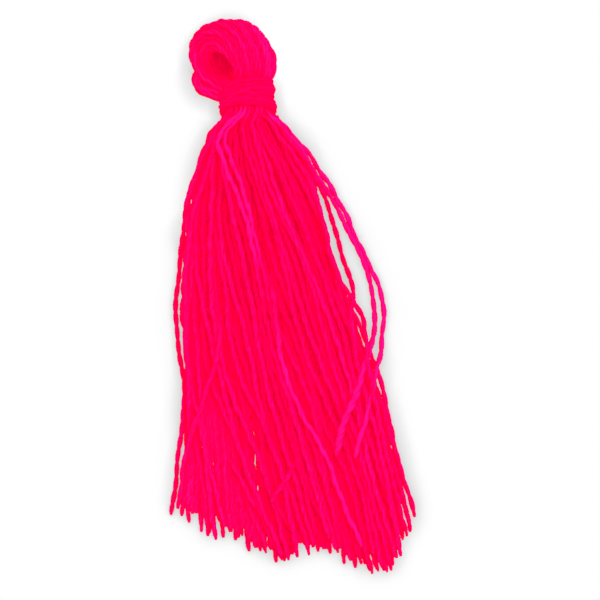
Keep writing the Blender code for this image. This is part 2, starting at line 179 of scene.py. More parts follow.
# Each turn's share of the way between those edges, at the left side and at the right, and its radius
BINDING_TURNS = (
    (0.08, 0.06, 1.36),
    (0.26, 0.22, 1.39),
    (0.42, 0.38, 1.37),
    (0.58, 0.52, 1.34),
    (0.74, 0.70, 1.36),
    (0.92, 0.94, 1.38),
    (0.62, 0.30, 1.42),
    (0.80, 0.82, 1.41),
)
BINDING_YARN = 0.15
BINDING_SAMPLES = 90
BINDING_SWAY = 0.03

# The skirt
STRANDS = 71
YARN_SIDE = 0.25
ROOT_SIDE = 0.15
FULL_SIDE_AT = 5.0
CLEARANCE = 0.09
ROOT_DOWN = 1.16
ROOT_HALF_WIDTH = 1.42
ROOT_HALF_HEIGHT = 1.12
FOOT_END = 26.0
SPREAD_LENGTH = 9.0
STATIONS = 15
STATION_CROWDING = 1.5
SWAY = 0.16
SWAY_PACE = (0.25, 0.5)
END_WANDER = 0.05
UPPER_FROM = 0.4
UPPER_BLEND = 0.25
FOOT_UNEVEN = 1.1
ARCH_HEIGHT = 0.05
ARCH_MIDDLE = 14.0
ARCH_REACH = 9.5
GUIDED_ROUNDS = 300
SETTLING_ROUNDS = 1200
HOLD = 0.03
STRAY_HOLD = 0.1
SMOOTHING = 0.1
PUSH = 0.3
LEAST_DISTANCE = 1e-6
SINK = 0.006
SINK_FROM = 2.0
SINK_OVER = 4.0
STRAY_RISE = (8.0, 16.0)
GOLDEN_ANGLE = math.radians(137.508)

# The skirt's outline: down the tassel, left edge, right edge, lowest and highest yarn
SKIRT_OUTLINE = (
    (1.2, -1.60, 1.50, 0.45, 2.75),
    (1.9, -2.20, 1.95, 0.25, 2.70),
    (2.8, -2.80, 2.50, 0.13, 2.45),
    (4.2, -3.20, 3.00, 0.13, 2.10),
    (6.0, -3.70, 3.30, 0.13, 1.85),
    (8.0, -4.25, 3.50, 0.13, 1.60),
    (11.0, -4.80, 3.80, 0.13, 1.35),
    (14.5, -4.85, 4.55, 0.13, 1.15),
    (17.5, -5.05, 5.25, 0.13, 1.00),
    (21.0, -5.55, 5.90, 0.13, 0.85),
    (26.0, -5.90, 6.30, 0.13, 0.80),
)

# The lie of the upper yarns: down the tassel, and how far across each of nine of them lies there
UPPER_LIE = (
    (1.2, -1.60, -1.55, -1.45, -1.35, -0.60, -0.20, -0.05, 0.32, 1.50),
    (3.0, -2.85, -2.60, -2.10, -1.90, -0.45, 0.20, 0.65, 1.15, 2.50),
    (5.0, -3.40, -3.20, -2.60, -1.90, -0.20, 0.78, 1.45, 2.00, 3.15),
    (8.0, -4.25, -3.90, -3.00, -1.50, 0.37, 1.85, 2.60, 3.00, 3.50),
    (11.0, -4.80, -4.30, -2.81, -0.83, 0.80, 2.75, 3.20, 3.45, 3.80),
    (14.5, -4.85, -4.30, -2.00, -0.40, 1.85, 3.50, 4.00, 4.30, 4.60),
    (18.0, -5.15, -3.36, -1.20, 0.45, 2.90, 4.35, 4.75, 5.10, 5.40),
    (22.0, -5.65, -1.70, -0.40, 1.15, 3.70, 5.00, 5.45, 5.85, 6.20),
    (26.0, -5.90, -0.60, 0.30, 1.90, 4.30, 5.30, 5.75, 6.10, 6.35),
)

# The foot, where the yarns were cut: across, down the tassel
FOOT_LINE = (
    (-6.2, 21.7),
    (-5.3, 22.7),
    (-4.1, 23.1),
    (-2.7, 23.8),
    (-1.2, 24.7),
    (0.3, 24.6),
    (1.1, 24.2),
    (2.3, 25.0),
    (3.6, 25.8),
    (4.9, 25.8),
    (5.5, 24.4),
    (6.3, 23.5),
)

# Yarns that stray from the rest. Each has its level at the neck and at its tip, as a share of the skirt's
# thickness there, and then its places: down the tassel, across
STRAY_YARNS = {
    "outer right": (0.5, 1.2, (
        (1.2, 1.3), (2.8, 2.7), (4.5, 3.6), (6.8, 4.6), (8.1, 5.0), (9.7, 5.6), (11.5, 6.05), (12.6, 5.95),
        (14.3, 5.6), (16.0, 5.0), (17.8, 4.4), (19.6, 3.65))),
    "inner right": (0.7, 1.1, (
        (1.2, 1.1), (2.8, 2.4), (4.5, 3.3), (7.0, 4.4), (8.9, 5.1), (11.0, 5.55), (13.0, 5.4), (14.6, 4.8),
        (16.2, 4.1), (17.5, 3.4), (19.4, 2.7))),
    "crossing right": (0.75, 0.9, (
        (1.2, 0.8), (4.2, 2.6), (6.7, 3.3), (9.4, 3.68), (10.6, 4.1), (11.4, 4.55), (12.4, 4.9), (13.4, 4.95),
        (14.3, 4.9), (17.0, 5.1), (20.5, 5.5), (24.0, 6.0))),
    "hanging right": (0.6, 0.8, (
        (1.2, 1.2), (4.2, 3.0), (6.7, 3.8), (8.9, 4.15), (9.8, 4.4), (11.0, 4.5), (12.0, 4.3), (13.0, 4.25),
        (15.0, 4.4), (18.0, 4.9), (25.0, 5.6))),
    "outer left": (0.4, 0.4, (
        (1.2, -1.4), (4.2, -3.3), (8.1, -4.4), (11.0, -4.95), (15.8, -5.0), (18.0, -5.5), (19.9, -5.9),
        (21.6, -6.3))),
    "inner left": (0.6, 0.6, (
        (1.2, -1.25), (6.0, -3.5), (12.0, -4.5), (16.6, -4.8), (18.3, -5.0), (20.4, -5.5), (21.7, -5.8))),
    "upper crossing": (0.95, 1.1, (
        (1.2, -1.15), (2.0, -1.45), (3.2, -1.2), (4.3, -0.85), (5.5, -0.6), (7.2, -0.4), (10.0, 0.0),
        (15.0, 0.4), (20.0, 1.4), (24.3, 2.2))),
    "upper falling": (1.05, 1.1, (
        (1.2, -1.4), (2.2, -1.75), (3.3, -1.6), (4.6, -1.2), (6.0, -0.8), (7.6, -0.55), (9.2, -0.4),
        (12.0, -0.2), (18.0, 0.9), (23.7, 1.9))),
    "lower left crossing": (0.9, 1.2, (
        (1.2, -0.9), (6.0, -2.4), (10.0, -2.7), (13.0, -2.85), (15.3, -3.8), (18.5, -5.2), (21.3, -5.9))),
    "short tip": (1.0, 1.5, (
        (1.2, 0.2), (6.0, 1.3), (12.0, 2.0), (16.0, 1.9), (18.0, 1.4), (19.3, 0.7), (21.5, -1.0))),
    "left tip": (0.8, 1.2, (
        (1.2, -1.3), (5.0, -3.0), (11.0, -4.1), (14.5, -4.2), (16.7, -3.75), (18.0, -3.3), (19.4, -2.75),
        (20.5, -2.25), (21.7, -1.8))),
    "bright fall": (0.95, 1.3, (
        (1.2, -0.2), (5.0, 0.1), (8.0, 0.2), (11.3, 0.3), (14.5, 0.45), (17.0, 1.15), (19.1, 2.1),
        (22.0, 2.85), (24.3, 3.6))),
}

# The ends of the skirt's yarns inside the binding: down the tassel, and how far they are drawn in there
ROOT_ENDS = ((-0.35, 0.78), (0.35, 0.90))
ROOT_THIN = 0.85
THIN_FROM = 0.5
THIN_OVER = 4.0

# How the straying yarns lie over the others. Some come up from among them only further down
DRAPE_FROM = 1.0
DRAPE_LATER = {"short tip": 19.0, "left tip": 18.6, "bright fall": 9.0, "lower left crossing": 11.0}
DRAPE_OVER = 1.3
HIDDEN_HEIGHT = 0.3
DRAPE_REACH = 0.29
DRAPE_STATIONS = 90
DRAPE_SMOOTHING = 9

# How far the yarns wander to the sides on their way down, as a sum of slow waves
WANDER = 0.12
WANDER_WAVES = 2
WANDER_PACE = (0.25, 0.8)
WANDER_FROM = 2.0
WANDER_OVER = 5.0
SOFTEN_OVER = 1.4

# Yarns at the bottom of the skirt, out of sight but for the gaps that they close
UNDER_YARNS = 44
UNDER_THICK = 1.6
UNDER_HEIGHT = (0.24, 0.34)
UNDER_INSET = 0.1
UNDER_SHORT = (0.3, 1.1)
UNDER_WANDER = 0.1

# The skirt's yarns are shared out among this many pieces
SKIRT_PIECES = 5

# Loose fibres that stand off the yarns
FIBRES = 3000
FIBRE_STEPS = 4
FIBRE_LENGTH = (0.06, 0.30)
FIBRE_RADIUS = 0.006
FIBRE_SIDES = 3
FIBRE_THINNING = 0.7
FIBRE_START = 0.8
FIBRE_CURL = 0.5

# The camera, straight above, rolled as the tassel leans in the photograph
VIEW_ACROSS = 1.68
VIEW_DOWN = 10.96
VIEW_WIDTH = 31.86
VIEW_ROLL = math.radians(-6)
CAMERA_HEIGHT = 350.0
SENSOR = 36.0

# How near and how far the camera sees, in metres
CLIP_START = 0.01
CLIP_END = 10.0

# The yarn's colours for its tone, from deep to light: painted shade reaches to the deep end and painted
# highlights to the light end, besides the fibres' own tones. The wound yarn's colours are deeper, its light
# ones less light
YARN_TONES = (
    (0.08, (0.40, 0.0, 0.022)),
    (0.30, (0.95, 0.0, 0.048)),
    (0.54, (1.0, 0.0, 0.096)),
    (0.84, (1.0, 0.008, 0.30)),
)
WOUND_TONES = (
    (0.08, (0.40, 0.0, 0.022)),
    (0.34, (0.92, 0.0, 0.044)),
    (0.60, (1.0, 0.0, 0.078)),
    (0.90, (1.0, 0.004, 0.18)),
)
# How much the fibre streaks, the yarn's own shade (with its painted highlights and painted eye shade in it)
# and a painted shade, deeper in the hollows where less of the open light round the yarn reaches, each add to
# the tone
STREAK_SHADE = 1.4
YARN_SHADE = 0.26
PAINTED_HOLLOW_SHADE = 0.55
TONE_SHIFT = -0.76
HOLLOW_REACH = 1.3
HOLLOW_SAMPLES = 4

# The yarn's finish: matt, with a faint fuzz, and with a painted glow, which stands in for the fluorescent
# dye's and lights the yarn evenly, into its hollows
YARN_FINISH_AND_PAINTED_GLOW = {
    "Roughness": 0.9,
    "Specular IOR Level": 0.0,
    "Sheen Weight": 0.15,
    "Sheen Roughness": 0.5,
    "Sheen Tint": (1.0, 0.0, 0.5, 1.0),
    "Emission Color": (0.44, 0.0, 0.032, 1.0),
    "Emission Strength": 1.0,
}

# The streaks of the fibres: their pattern, how it is drawn out along a ply, how far on in it the second ply
# lies, and the relief that they give
STREAKS = {"Scale": 2.4, "Detail": 4.0, "Roughness": 0.7}
STREAK_STRETCH = (0.8, 1.0, 1.0)
PLY_APART = 3.0
BUMP_STRENGTH = 0.6
BUMP_HEIGHT = 0.02

# The straying yarns' shade, where 1 is a light yarn and 0 a deep one. Some of them are painted lighter over a
# stretch, a painted highlight where they lie on top and catch the light, given by how far down the tassel it
# starts and ends
STRAY_SHADE = 0.5
PAINTED_HIGHLIGHT_SHADE = 1.3
PAINTED_HIGHLIGHT_FADE = 3.0
PAINTED_HIGHLIGHT_YARNS = {
    "outer right": (0.0, FOOT_END),
    "inner right": (0.0, FOOT_END),
    "upper crossing": (0.0, 7.0),
    "upper falling": (0.0, 7.0),
    "bright fall": (14.0, FOOT_END),
}

# The yarns lie in lighter and deeper bunches: the share of the way across the neck, and the shade there
BUNCHES = (
    (0.0, 0.95),
    (0.12, 0.85),
    (0.25, 0.45),
    (0.45, 0.05),
    (0.56, 0.65),
    (0.70, 0.65),
    (0.80, 0.15),
    (1.0, 0.9),
)
BUNCH_WEIGHT = 0.6

# The painted shade inside the eye, deep where its hollow lies in shade: its middle and its reach seen from
# above, and how high it comes
EYE_DOWN = -1.84
EYE_ACROSS = -1.2
EYE_REACH = 0.95
EYE_TOP = 2.5
EYE_FADE = 0.5
EYE_PAINTED_SHADE = 1.5

# One straying yarn is loosely twisted, and so thicker further down
THICK_YARN = "inner right"
THICK_FROM = 11.0
THICK_OVER = 6.0
THICK_MORE = 0.45

# The light from all sides, and the lamp and the floor with their sizes in metres
WORLD_STRENGTH = 0.35
LAMP_PLACE = (0.08, 0.1, 0.3)
LAMP_SIZE = 0.15
LAMP_POWER = 0.8
FLOOR_SIZE = 0.6

# The painted shadow on the floor, a grey painted into the floor's glow where the tassel is near: how near
# the tassel has to be, the side that the light comes from, and the floor's grey for each share of the light
# that reaches it
SHADOW_REACH = 1.2
SHADOW_SAMPLES = 16
SHADOW_FROM = (0.2, 0.25, 0.95)
SHADOW_STEPS = ((0.0, 0.5), (0.5, 0.68), (0.85, 0.86), (0.94, 0.97), (1.0, 1.0))


def draws(use, number=0):
    """The random numbers for one use, or for one of several alike."""
    return np.random.default_rng(SEEDS[use] + number)


def leant(points):
    """Pushes points towards the eye where they are high, and away from it where they are low."""
    moved = np.array(points, dtype=float)
    fade = np.clip(1.0 - np.abs(moved[..., 0]) / LEAN_REACH, 0.0, 1.0)
    moved[..., 0] -= LEAN * fade * (moved[..., 2] - NECK_HEIGHT)
    return moved


def placed(points):
    """Turns (down the tassel, across, height) in mm into world positions in metres."""
    world = np.empty_like(points)
    world[..., 0] = NECK_ACROSS + points[..., 1]
    world[..., 1] = NECK_ALONG - points[..., 0]
    world[..., 2] = points[..., 2]
    return world * MM


def eased(value):
    """A smooth step from 0 to 1."""
    value = np.clip(value, 0.0, 1.0)
    return value * value * (3.0 - 2.0 * value)


def smooth_curve(knots, values, at):
    """A smooth curve through values at the knots, read at the given places."""
    slopes = np.gradient(values, knots, axis=0)
    index = np.clip(np.searchsorted(knots, at, side="right") - 1, 0, len(knots) - 2)
    width = (knots[index + 1] - knots[index])[:, None]
    t = ((at - knots[index])[:, None]) / width
    before, after = values[index], values[index + 1]
    leave, arrive = slopes[index] * width, slopes[index + 1] * width
    return (
        (2 * t**3 - 3 * t**2 + 1) * before
        + (t**3 - 2 * t**2 + t) * leave
        + (-2 * t**3 + 3 * t**2) * after
        + (t**3 - t**2) * arrive
    )


def resampled(path, samples):
    """The path with its points at even distances."""
    travelled = np.concatenate([[0.0], np.cumsum(np.linalg.norm(np.diff(path, axis=0), axis=1))])
    places = np.linspace(0.0, travelled[-1], samples)
    return np.stack([np.interp(places, travelled, path[:, k]) for k in range(3)], axis=1)


def skirt_fractions():
    """How far across the skirt each yarn starts and ends, and how high it lies in the bundle."""
    order = np.arange(STRANDS)
    reach = np.sqrt((order + 0.5) / STRANDS)
    start = 0.5 + 0.5 * reach * np.cos(order * GOLDEN_ANGLE)
    level = 0.5 + 0.5 * reach * np.sin(order * GOLDEN_ANGLE)
    wander = draws("yarn ends").normal(0.0, END_WANDER, STRANDS)
    end = (np.argsort(np.argsort(start + wander)) + 0.5) / STRANDS
    return start, end, level


def yarn_side(down):
    """A yarn's side: gathered and thin at its root, and full once it is clear of the neck."""
    return ROOT_SIDE + (YARN_SIDE - ROOT_SIDE) * eased((down - ROOT_DOWN) / (FULL_SIDE_AT - ROOT_DOWN))


def upper_lie(stations, start):
    """How far across the upper yarns lie at each station, by where they start."""
    lie = np.array(UPPER_LIE)
    guides = np.stack([np.interp(stations, lie[:, 0], lie[:, k]) for k in range(1, lie.shape[1])], axis=1)
    places = np.linspace(0.0, 1.0, guides.shape[1])
    return np.stack([np.interp(start, places, row) for row in guides])


def strand_guides(stations):
    """Where each yarn would lie if yarns took no room, at each station: across, and height."""
    outline = np.array(SKIRT_OUTLINE)
    columns = [np.interp(stations, outline[:, 0], outline[:, k])[:, None] for k in range(1, 5)]
    left, right, low, high = columns
    start, end, level = skirt_fractions()
    spread = eased((stations - ROOT_DOWN) / SPREAD_LENGTH)[:, None]
    draw = draws("sway")
    phase = draw.uniform(0.0, math.tau, STRANDS)
    pace = draw.uniform(*SWAY_PACE, STRANDS)
    sway = SWAY * spread * np.sin(stations[:, None] * pace + phase)
    across = left + (right - left) * (start + (end - start) * spread)
    upper = eased((level - UPPER_FROM) / UPPER_BLEND)
    across = across + upper * (upper_lie(stations, start) - across) + sway
    height = low + (high - low) * level
    for at_neck, at_tip, places in STRAY_YARNS.values():
        stray = np.interp(stations, *np.array(places).T)[:, None]
        rise = np.interp(stations, STRAY_RISE, (at_neck, at_tip))[:, None]
        across = np.append(across, stray, axis=1)
        height = np.append(height, low + (high - low) * rise, axis=1)
    return across, height


def pushes(across, height, room):
    """How far each yarn is pushed by those that are nearer to it than their room, at each station."""
    aside = across[:, :, None] - across[:, None, :]
    above = height[:, :, None] - height[:, None, :]
    distance = np.sqrt(np.sqrt(aside**2 * aside**2 + above**2 * above**2)) + LEAST_DISTANCE
    overlap = np.maximum(0.0, room[:, None, None] - distance) / distance
    return np.sum(overlap * aside, axis=2), np.sum(overlap * above, axis=2)


def arch(stations, across):
    """How far the skirt's underside is held off the table: it stands on its four corners."""
    along = np.clip(np.abs(stations - ARCH_MIDDLE) / ARCH_REACH, 0.0, 1.0)[:, None]
    edge = np.max(np.abs(across), axis=1, keepdims=True)
    return ARCH_HEIGHT * (1.0 - along * np.abs(across) / edge)


def settled(stations):
    """Moves the yarns off one another and down onto the table, keeping each one smooth."""
    wanted_across, wanted_height = strand_guides(stations)
    across, height = wanted_across.copy(), wanted_height.copy()
    between = (stations[1:] + stations[:-1]) / 2.0
    room = yarn_side(stations) + CLEARANCE
    room_between = yarn_side(between) + CLEARANCE
    resting = (yarn_side(stations) / 2.0)[:, None]
    hold = np.where(np.arange(across.shape[1]) < STRANDS, HOLD, STRAY_HOLD)[None, :]
    sink = SINK * eased((stations - SINK_FROM) / SINK_OVER)[:, None]
    for done in range(SETTLING_ROUNDS):
        if done < GUIDED_ROUNDS:
            for places, wanted in ((across, wanted_across), (height, wanted_height)):
                places += hold * (wanted - places)
                places[1:-1] += SMOOTHING * (places[:-2] + places[2:] - 2.0 * places[1:-1])
            height -= sink
        aside, above = pushes(across, height, room)
        middle = (across[1:] + across[:-1]) / 2.0, (height[1:] + height[:-1]) / 2.0
        aside_between, above_between = pushes(*middle, room_between)
        for places, at, amid in ((across, aside, aside_between), (height, above, above_between)):
            places += PUSH * at
            places[1:] += PUSH / 2.0 * amid
            places[:-1] += PUSH / 2.0 * amid
        height = np.maximum(height, resting + arch(stations, across))
        reach = np.hypot(across[0] / ROOT_HALF_WIDTH, (height[0] - NECK_HEIGHT) / ROOT_HALF_HEIGHT)
        inward = 1.0 / np.maximum(1.0, reach)
        across[0] *= inward
        height[0] = NECK_HEIGHT + inward * (height[0] - NECK_HEIGHT)
    return across, height


def wandered(downs, across):
    """Lets each yarn wander a little to the sides, so that yarns cross one another."""
    draw = draws("wander")
    fade = eased((downs - WANDER_FROM) / WANDER_OVER)[:, None]
    count = across.shape[1]
    wander = np.zeros_like(across)
    for _ in range(WANDER_WAVES):
        pace = draw.uniform(*WANDER_PACE, count)
        phase = draw.uniform(0.0, math.tau, count)
        wander += np.sin(downs[:, None] * pace + phase)
    return across + WANDER * fade * wander


def eased_along(values):
    """The values with each one averaged with its neighbours further up and down the skirt."""
    window = np.ones(DRAPE_SMOOTHING) / DRAPE_SMOOTHING
    padded = np.pad(values, DRAPE_SMOOTHING // 2, mode="edge")
    return np.convolve(padded, window, mode="valid")


def draped(downs, across, height):
    """Raises the straying yarns onto whatever they cross, once they are clear of the neck."""
    height = height.copy()
    for k, name in enumerate(STRAY_YARNS, STRANDS):
        if name in DRAPE_LATER:
            height[:, k] += eased((downs - DRAPE_FROM) / DRAPE_OVER) * (HIDDEN_HEIGHT - height[:, k])
        share = eased((downs - DRAPE_LATER.get(name, DRAPE_FROM)) / DRAPE_OVER)
        aside = across[:, :k] - across[:, k : k + 1]
        lift = np.sqrt(np.maximum(DRAPE_REACH**2 - aside**2, 0.0))
        under = np.max(np.where(lift > 0.0, height[:, :k] + lift, YARN_SIDE / 2.0), axis=1)
        height[:, k] += share * (np.maximum(eased_along(under), YARN_SIDE / 2.0) - height[:, k])
    return height


def yarn_ends(across):
    """How far down each yarn ends: where the foot was cut, or at a straying yarn's last place."""
    foot = np.array(FOOT_LINE)
    trims = FOOT_UNEVEN * draws("cuts").uniform(0.0, 1.0, across.shape[1]) ** 2
    ends = np.interp(across[-2], foot[:, 0], foot[:, 1]) - trims
    ends[STRANDS:] = [places[-1][0] for _, _, places in STRAY_YARNS.values()]
    return ends


def spread_across(downs, stations, across):
    """How far across the yarns lie, smoothed and wandering, with the straying ones in their own places."""
    across = smooth_curve(stations, across, downs)
    clear = eased((downs - ROOT_DOWN) / SOFTEN_OVER)
    across += clear[:, None] * (np.apply_along_axis(eased_along, 0, across) - across)
    across = wandered(downs, across)
    for k, (_, _, places) in enumerate(STRAY_YARNS.values(), STRANDS):
        known = np.array(places)
        wanted = smooth_curve(known[:, 0], known[:, 1:], np.minimum(downs, known[-1, 0]))[:, 0]
        across[:, k] += clear * (wanted - across[:, k])
    return across


def rooted(downs, across, height):
    """One yarn's places, as (down, across, height), with its ends inside the binding put before them."""
    risen = height[0] - NECK_HEIGHT
    roots = [(down, across[0] * drawn, NECK_HEIGHT + risen * drawn) for down, drawn in ROOT_ENDS]
    return np.concatenate([roots, np.stack([downs, across, height], axis=1)])


def skirt_paths():
    """Each yarn's middle line, from inside the binding to its cut end."""
    share = np.linspace(0.0, 1.0, STATIONS)
    stations = ROOT_DOWN + (FOOT_END - ROOT_DOWN) * share**STATION_CROWDING
    across, height = settled(stations)
    ends = yarn_ends(across)
    downs = np.linspace(ROOT_DOWN, FOOT_END, DRAPE_STATIONS)
    across = spread_across(downs, stations, across)
    height = draped(downs, across, smooth_curve(stations, height, downs))
    samples = int(FOOT_END / SAMPLE_STEP)
    paths = []
    for k, end in enumerate(ends):
        knots = rooted(downs, across[:, k], height[:, k])
        places = np.linspace(knots[0, 0], end, FINE_STEPS * samples)
        path = np.concatenate([places[:, None], smooth_curve(knots[:, 0], knots[:, 1:], places)], axis=1)
        paths.append(resampled(leant(path), samples))
    return np.array(paths)


def under_paths(samples):
    """A plain fan of yarns on the table, which closes the gaps between the others."""
    draw = draws("under yarns")
    outline = np.array(SKIRT_OUTLINE)
    foot = np.array(FOOT_LINE)
    paths = []
    for share in (np.arange(UNDER_YARNS) + 0.5) / UNDER_YARNS:
        at_foot = np.interp(FOOT_END, outline[:, 0], outline[:, 1] * (1.0 - share) + outline[:, 2] * share)
        end = np.interp(at_foot, foot[:, 0], foot[:, 1]) - draw.uniform(*UNDER_SHORT)
        downs = np.linspace(outline[0, 0], end, samples)
        left = np.interp(downs, outline[:, 0], outline[:, 1]) + UNDER_INSET
        right = np.interp(downs, outline[:, 0], outline[:, 2]) - UNDER_INSET
        sway = UNDER_WANDER * np.sin(downs * draw.uniform(*SWAY_PACE) + draw.uniform(0.0, math.tau))
        across = left + (right - left) * share + sway * eased((downs - SINK_FROM) / SINK_OVER)
        low = np.interp(downs, outline[:, 0], outline[:, 3])
        height = draw.uniform(*UNDER_HEIGHT) + np.maximum(0.0, low - outline[-1, 3])
        paths.append(np.stack([downs, across, height], axis=1))
    return np.array(paths)


def loop_place(turn):
    """Where the loop's middle line runs in its own plane: to the side, and up from the neck."""
    spread = LOOP_SPREAD * math.sin(turn) * abs(math.sin(turn / 2.0)) ** LOOP_ROUNDNESS
    rise = LOOP_BASE + LOOP_RISE * (1.0 - math.cos(turn)) / 2.0
    return np.array([spread, rise])


def oval_edge(half_width, half_thick, count):
    """Even places along the edge of a flat oval."""
    turn = np.linspace(0.0, math.tau, OVAL_POINTS)
    wide = half_width * np.sign(np.cos(turn)) * np.abs(np.cos(turn)) ** BAND_SQUARENESS
    thick = half_thick * np.sign(np.sin(turn)) * np.abs(np.sin(turn)) ** BAND_SQUARENESS
    travelled = np.concatenate([[0.0], np.cumsum(np.hypot(np.diff(wide), np.diff(thick)))])
    places = np.linspace(0.0, travelled[-1], count, endpoint=False)
    return np.stack([np.interp(places, travelled, wide), np.interp(places, travelled, thick)], axis=1)


def crown_ring(turn, count, share):
    """Where a ring of yarns crosses the band's section at one turn of the loop, as (down, across, height)."""
    spread, rise = loop_place(turn)
    ahead = loop_place(turn + TURN_STEP) - loop_place(turn - TURN_STEP)
    outward = np.array([ahead[1], -ahead[0]]) / np.hypot(*ahead)
    risen = (rise - LOOP_BASE) / LOOP_RISE
    grown = eased(risen / BAND_FULL_AT)
    half_width = BAND_NECK_WIDTH + (BAND_HALF_WIDTH - BAND_NECK_WIDTH) * grown
    half_thick = BAND_NECK_THICK + (BAND_TOP_THICK - BAND_NECK_THICK) * risen
    profile = share * oval_edge(half_width, half_thick, count)
    aside = spread + outward[0] * profile[:, 1]
    up = rise + outward[1] * profile[:, 1]
    over = profile[:, 0] + BAND_LEAN * grown
    x = aside * math.cos(LOOP_TURN) - over * math.sin(LOOP_TURN)
    z = aside * math.sin(LOOP_TURN) + over * math.cos(LOOP_TURN)
    shift = eased((up - LOOP_BASE) / LOOP_RISE)
    across = CROWN_SHIFT * shift + CROWN_WIDEN * x
    height = NECK_HEIGHT + (CROWN_HEIGHT - NECK_HEIGHT) * shift + CROWN_FLATTEN * z
    return np.stack([-up, across, height], axis=1)


def rounded(path, samples):
    """A smooth path of even steps through the points."""
    knots = np.arange(len(path), dtype=float)
    fine = smooth_curve(knots, path, np.linspace(0.0, knots[-1], ROUNDED_STEPS * len(path)))
    return resampled(fine, samples)


def into_neck(end):
    """The two places by which a yarn of the crown goes down inside the binding."""
    aside = np.array([end[1], end[2] - NECK_HEIGHT])
    aside *= NECK_REACH / max(NECK_REACH, np.hypot(*aside))
    mouth = np.array([NECK_MOUTH, aside[0], NECK_HEIGHT + aside[1]])
    deep = np.array([NECK_DEEP, NECK_DRAWN * aside[0], NECK_HEIGHT + NECK_DRAWN * aside[1]])
    return mouth, deep


def crown_paths():
    """The yarns of the looped head."""
    turns = np.linspace(CROWN_START, math.tau - CROWN_START, CROWN_STATIONS)
    rings = np.concatenate(
        [[crown_ring(turn, count, share) for turn in turns] for count, share in CROWN_RINGS], axis=1
    )
    draw = draws("crown yarns")
    phase = draw.uniform(0.0, math.tau, rings.shape[1:])
    pace = draw.uniform(*CROWN_PACE, rings.shape[1:])
    fade = np.sin((turns - turns[0]) / (turns[-1] - turns[0]) * math.pi)[:, None, None]
    rings = rings + CROWN_WANDER * fade * np.sin(turns[:, None, None] * pace + phase)
    paths = []
    for k in range(rings.shape[1]):
        mouth, deep = into_neck(rings[0, k])
        last_mouth, last_deep = into_neck(rings[-1, k])
        path = np.array([deep, mouth, *rings[:, k], last_mouth, last_deep])
        paths.append(leant(rounded(path, CROWN_SAMPLES)))
    return np.array(paths)


def slack_paths():
    """The slack yarns that droop to the left of the neck: thin upright bunches along their lines."""
    upright = np.array([0.0, 0.0, 1.0])
    profile = oval_edge(SLACK_HALF_WIDTH, SLACK_HALF_THICK, SLACK_YARNS)
    paths = []
    for line in SLACK_LINES:
        middle = rounded(np.array(line), SLACK_SAMPLES)
        ahead = np.gradient(middle, axis=0)
        aside = np.stack([ahead[:, 1], -ahead[:, 0], np.zeros(len(middle))], axis=1)
        aside /= np.linalg.norm(aside, axis=1, keepdims=True)
        paths += [middle + wide * upright + thick * aside for wide, thick in profile]
    return np.array(paths)


def binding_paths():
    """The binding's turns, fanned between its edges, some of them lying across others."""
    draw = draws("binding turns")
    degrees = np.linspace(-180.0, 180.0, BINDING_SAMPLES)
    angle = np.radians(degrees)
    edges = np.array(BINDING_EDGES)
    near_eye, near_skirt = (
        smooth_curve(edges[:, 0], edges[:, k : k + 1], degrees)[:, 0] for k in (1, 2)
    )
    rightward = 0.5 + 0.5 * np.sin(angle)
    paths = []
    for left, right, radius in BINDING_TURNS:
        share = left + (right - left) * rightward
        sway = BINDING_SWAY * np.sin(2.0 * angle + draw.uniform(0.0, math.tau))
        down = near_eye + share * (near_skirt - near_eye) + sway
        height = NECK_HEIGHT + HEIGHT_RATIO * radius * np.cos(angle)
        paths.append(np.stack([down, radius * np.sin(angle), height], axis=1))
    return np.array(paths)


def frames(paths):
    """Two directions across each path at each of its points, carried along without twisting."""
    ahead = np.gradient(paths, axis=1)
    ahead /= np.linalg.norm(ahead, axis=2, keepdims=True)
    side = np.cross(ahead[:, 0], ROUGHLY_UP)
    side /= np.linalg.norm(side, axis=1, keepdims=True)
    sides = np.empty_like(paths)
    for step in range(paths.shape[1]):
        side = side - np.sum(side * ahead[:, step], axis=1, keepdims=True) * ahead[:, step]
        side /= np.linalg.norm(side, axis=1, keepdims=True)
        sides[:, step] = side
    return sides, np.cross(ahead, sides)


def travel(paths):
    """How far along its path each point lies."""
    steps = np.linalg.norm(np.diff(paths, axis=1), axis=2)
    return np.concatenate([np.zeros((len(paths), 1)), np.cumsum(steps, axis=1)], axis=1)


def turned(angle, side, other):
    """The direction at an angle round a path, given its two directions across."""
    return np.cos(angle)[..., None] * side + np.sin(angle)[..., None] * other


def ply_rings(paths, radii, ply_share, draw):
    """Rings of points round each ply of each yarn: (yarn and ply, step, side, 3), and each point's lie."""
    count = len(paths)
    side, other = frames(paths)
    travelled = travel(paths)
    swell_phase, wobble_phase, twist_phase = draw.uniform(0.0, math.tau, (3, count, 1))
    swell = 1.0 + SWELL * np.sin(travelled * draw.uniform(*SWELL_PACE, (count, 1)) + swell_phase)
    wobble = WOBBLE * np.sin(travelled * draw.uniform(*SWELL_PACE, (count, 1)) + wobble_phase)
    length = TWIST_LENGTH * draw.uniform(*TWIST_SPREAD, (count, 1))
    around = np.linspace(0.0, math.tau, PLY_SIDES, endpoint=False)
    rings, lies = [], []
    for ply in range(2):
        turn = twist_phase + math.pi * ply + math.tau * travelled / length
        reach = radii * (1.0 - ply_share) * swell
        middle = paths + wobble[..., None] * side + reach[..., None] * turned(turn, side, other)
        angle = around + turn[..., None]
        offset = turned(angle, side[:, :, None], other[:, :, None])
        rings.append(middle[:, :, None] + (radii * ply_share * swell)[..., None, None] * offset)
        along = np.broadcast_to(travelled[..., None], angle.shape)
        spun = np.broadcast_to(around, angle.shape)
        lies.append(np.stack([along, np.cos(spun), np.sin(spun) + PLY_APART * ply], axis=3))
    return np.concatenate(rings), np.concatenate(lies)


